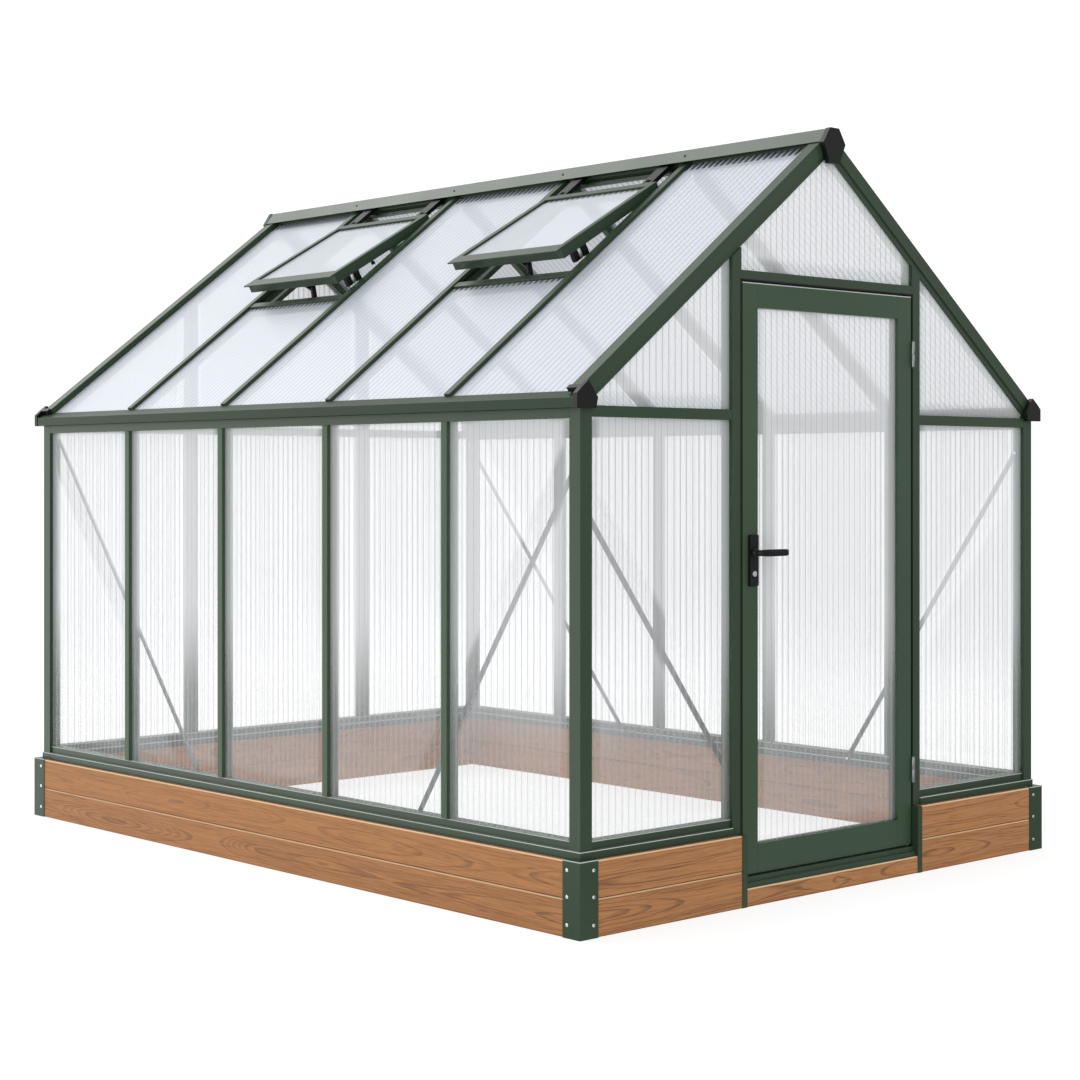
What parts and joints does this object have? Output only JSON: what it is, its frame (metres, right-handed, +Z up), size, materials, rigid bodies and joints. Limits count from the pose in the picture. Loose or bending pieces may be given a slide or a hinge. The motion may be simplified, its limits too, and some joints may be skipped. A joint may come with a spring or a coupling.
{
  "type": "greenhouse",
  "caption": "Apex greenhouse with a timber plank base, coated aluminium frame, twin-wall sheets, a hinged lever-handle door and hinged roof vents on folding stays.",
  "frame": {"origin": "on the ground at the middle of the base", "axes": "+Z up, +Y along the ridge away from the door gable, +X to the right seen from the door"},
  "size_m": [2.424, 3.336, 2.6024],
  "materials": {
    "green_aluminium": "powder coated",
    "green_steel": "powder coated",
    "timber": "oiled, sawn",
    "twin_wall": "clear ribbed",
    "black_plastic": "moulded",
    "bright_steel": "zinc plated"
  },
  "bodies": {
    "house": {"back_gable_panels": "twin_wall", "back_gable_posts": "green_aluminium", "back_gable_rails": "green_aluminium", "base_bolts": "bright_steel", "base_planks_back": "timber", "base_planks_front": "timber", "base_planks_side": "timber", "brace_bolts": "bright_steel", "corner_brackets": "green_steel", "corner_posts": "green_aluminium", "door_header": "green_aluminium", "door_posts": "green_aluminium", "door_stops": "green_aluminium", "doorway_trims": "green_aluminium", "front_gable_panels": "twin_wall", "front_gable_rails": "green_aluminium", "gable_rafters": "green_aluminium", "gutter_end_caps": "black_plastic", "gutters": "green_aluminium", "head_rails": "green_aluminium", "hinge_frame_leaves": "bright_steel", "ridge_beam": "green_aluminium", "ridge_end_caps": "black_plastic", "roof_bars": "green_aluminium", "roof_panels_left": "twin_wall", "roof_panels_right": "twin_wall", "sills": "green_aluminium", "stay_feet": "black_plastic", "strike_plate": "bright_steel", "threshold_plank": "timber", "threshold_rail": "green_aluminium", "vent_crossbars": "green_aluminium", "vent_hinge_brackets": "black_plastic", "vent_trimmers": "green_aluminium", "wall_bars": "green_aluminium", "wall_braces": "bright_steel", "wall_panels": "twin_wall"},
    "door": {"door_stiles": "green_aluminium", "door_rails": "green_aluminium", "door_panel": "twin_wall", "hinge_door_leaves": "bright_steel", "handle_backplates": "black_plastic", "lock_case": "bright_steel", "key_cylinder": "bright_steel"},
    "door_lever": {"door_lever": "black_plastic"},
    "latch_bolt": {"latch_bolt": "bright_steel"},
    "key_plug": {"key_plug": "bright_steel"},
    "deadbolt": {"deadbolt": "bright_steel"},
    "vent_front": {"vent_front_sash": "green_aluminium", "vent_front_pane": "twin_wall", "vent_front_hardware": "black_plastic", "vent_front_catch_stud": "bright_steel"},
    "vent_front_lower_arm": {"vent_front_lower_arm": "black_plastic"},
    "vent_front_upper_arm": {"vent_front_upper_arm": "black_plastic"},
    "vent_rear": {"vent_rear_sash": "green_aluminium", "vent_rear_pane": "twin_wall", "vent_rear_hardware": "black_plastic", "vent_rear_catch_stud": "bright_steel"},
    "vent_rear_lower_arm": {"vent_rear_lower_arm": "black_plastic"},
    "vent_rear_upper_arm": {"vent_rear_upper_arm": "black_plastic"}
  },
  "joints": [
    {"name": "door_swing", "type": "hinge", "parent": "house", "child": "door", "pos_m": [0.448, -1.632, 1], "axis": [0, 0, 1], "range_deg": [0, 110]},
    {"name": "lever_turn", "type": "hinge", "parent": "door", "child": "door_lever", "pos_m": [-0.397, -1.605, 1.159], "axis": [0, 1, 0], "range_deg": [0, 45], "stiffness_Nm_per_rad": 1, "springref_deg": -17.19},
    {"name": "latch_slide", "type": "slide", "parent": "door", "child": "latch_bolt", "axis": [1, 0, 0], "range_m": [0, 0.005]},
    {"name": "key_turn", "type": "hinge", "parent": "door", "child": "key_plug", "pos_m": [-0.397, -1.605, 1.09], "axis": [0, 1, 0], "range_deg": [0, 90]},
    {"name": "deadbolt_slide", "type": "slide", "parent": "door", "child": "deadbolt", "axis": [-1, 0, 0], "range_m": [0, 0.018]},
    {"name": "vent_front_hinge", "type": "hinge", "parent": "house", "child": "vent_front", "pos_m": [-0.13207, -0.65, 2.47459], "axis": [0, 1, 0], "range_deg": [-7.5, 1]},
    {"name": "vent_front_lower_arm_turn", "type": "hinge", "parent": "house", "child": "vent_front_lower_arm", "pos_m": [-0.50491, -0.65, 2.11287], "axis": [0, 1, 0], "range_deg": [-5.4, 40]},
    {"name": "vent_front_upper_arm_turn", "type": "hinge", "parent": "vent_front", "child": "vent_front_upper_arm", "pos_m": [-0.57192, -0.65, 2.20043], "axis": [0, 1, 0], "range_deg": [-38.1, 5.2]},
    {"name": "vent_rear_hinge", "type": "hinge", "parent": "house", "child": "vent_rear", "pos_m": [-0.13207, 0.65, 2.47459], "axis": [0, 1, 0], "range_deg": [-7.5, 1]},
    {"name": "vent_rear_lower_arm_turn", "type": "hinge", "parent": "house", "child": "vent_rear_lower_arm", "pos_m": [-0.50491, 0.65, 2.11287], "axis": [0, 1, 0], "range_deg": [-5.4, 40]},
    {"name": "vent_rear_upper_arm_turn", "type": "hinge", "parent": "vent_rear", "child": "vent_rear_upper_arm", "pos_m": [-0.57192, 0.65, 2.20043], "axis": [0, 1, 0], "range_deg": [-38.1, 5.2]}
  ],
  "couplings": [
    {"joint": "latch_slide", "follows": "lever_turn", "m_per_rad": 0.0063662},
    {"joint": "deadbolt_slide", "follows": "key_turn", "m_per_rad": 0.011459},
    {"joint": "vent_front_lower_arm_turn", "follows": "vent_front_hinge", "ratio": -5.3249},
    {"joint": "vent_front_upper_arm_turn", "follows": "vent_front_hinge", "ratio": 5.0638},
    {"joint": "vent_rear_lower_arm_turn", "follows": "vent_rear_hinge", "ratio": -5.3249},
    {"joint": "vent_rear_upper_arm_turn", "follows": "vent_rear_hinge", "ratio": 5.0638}
  ]
}
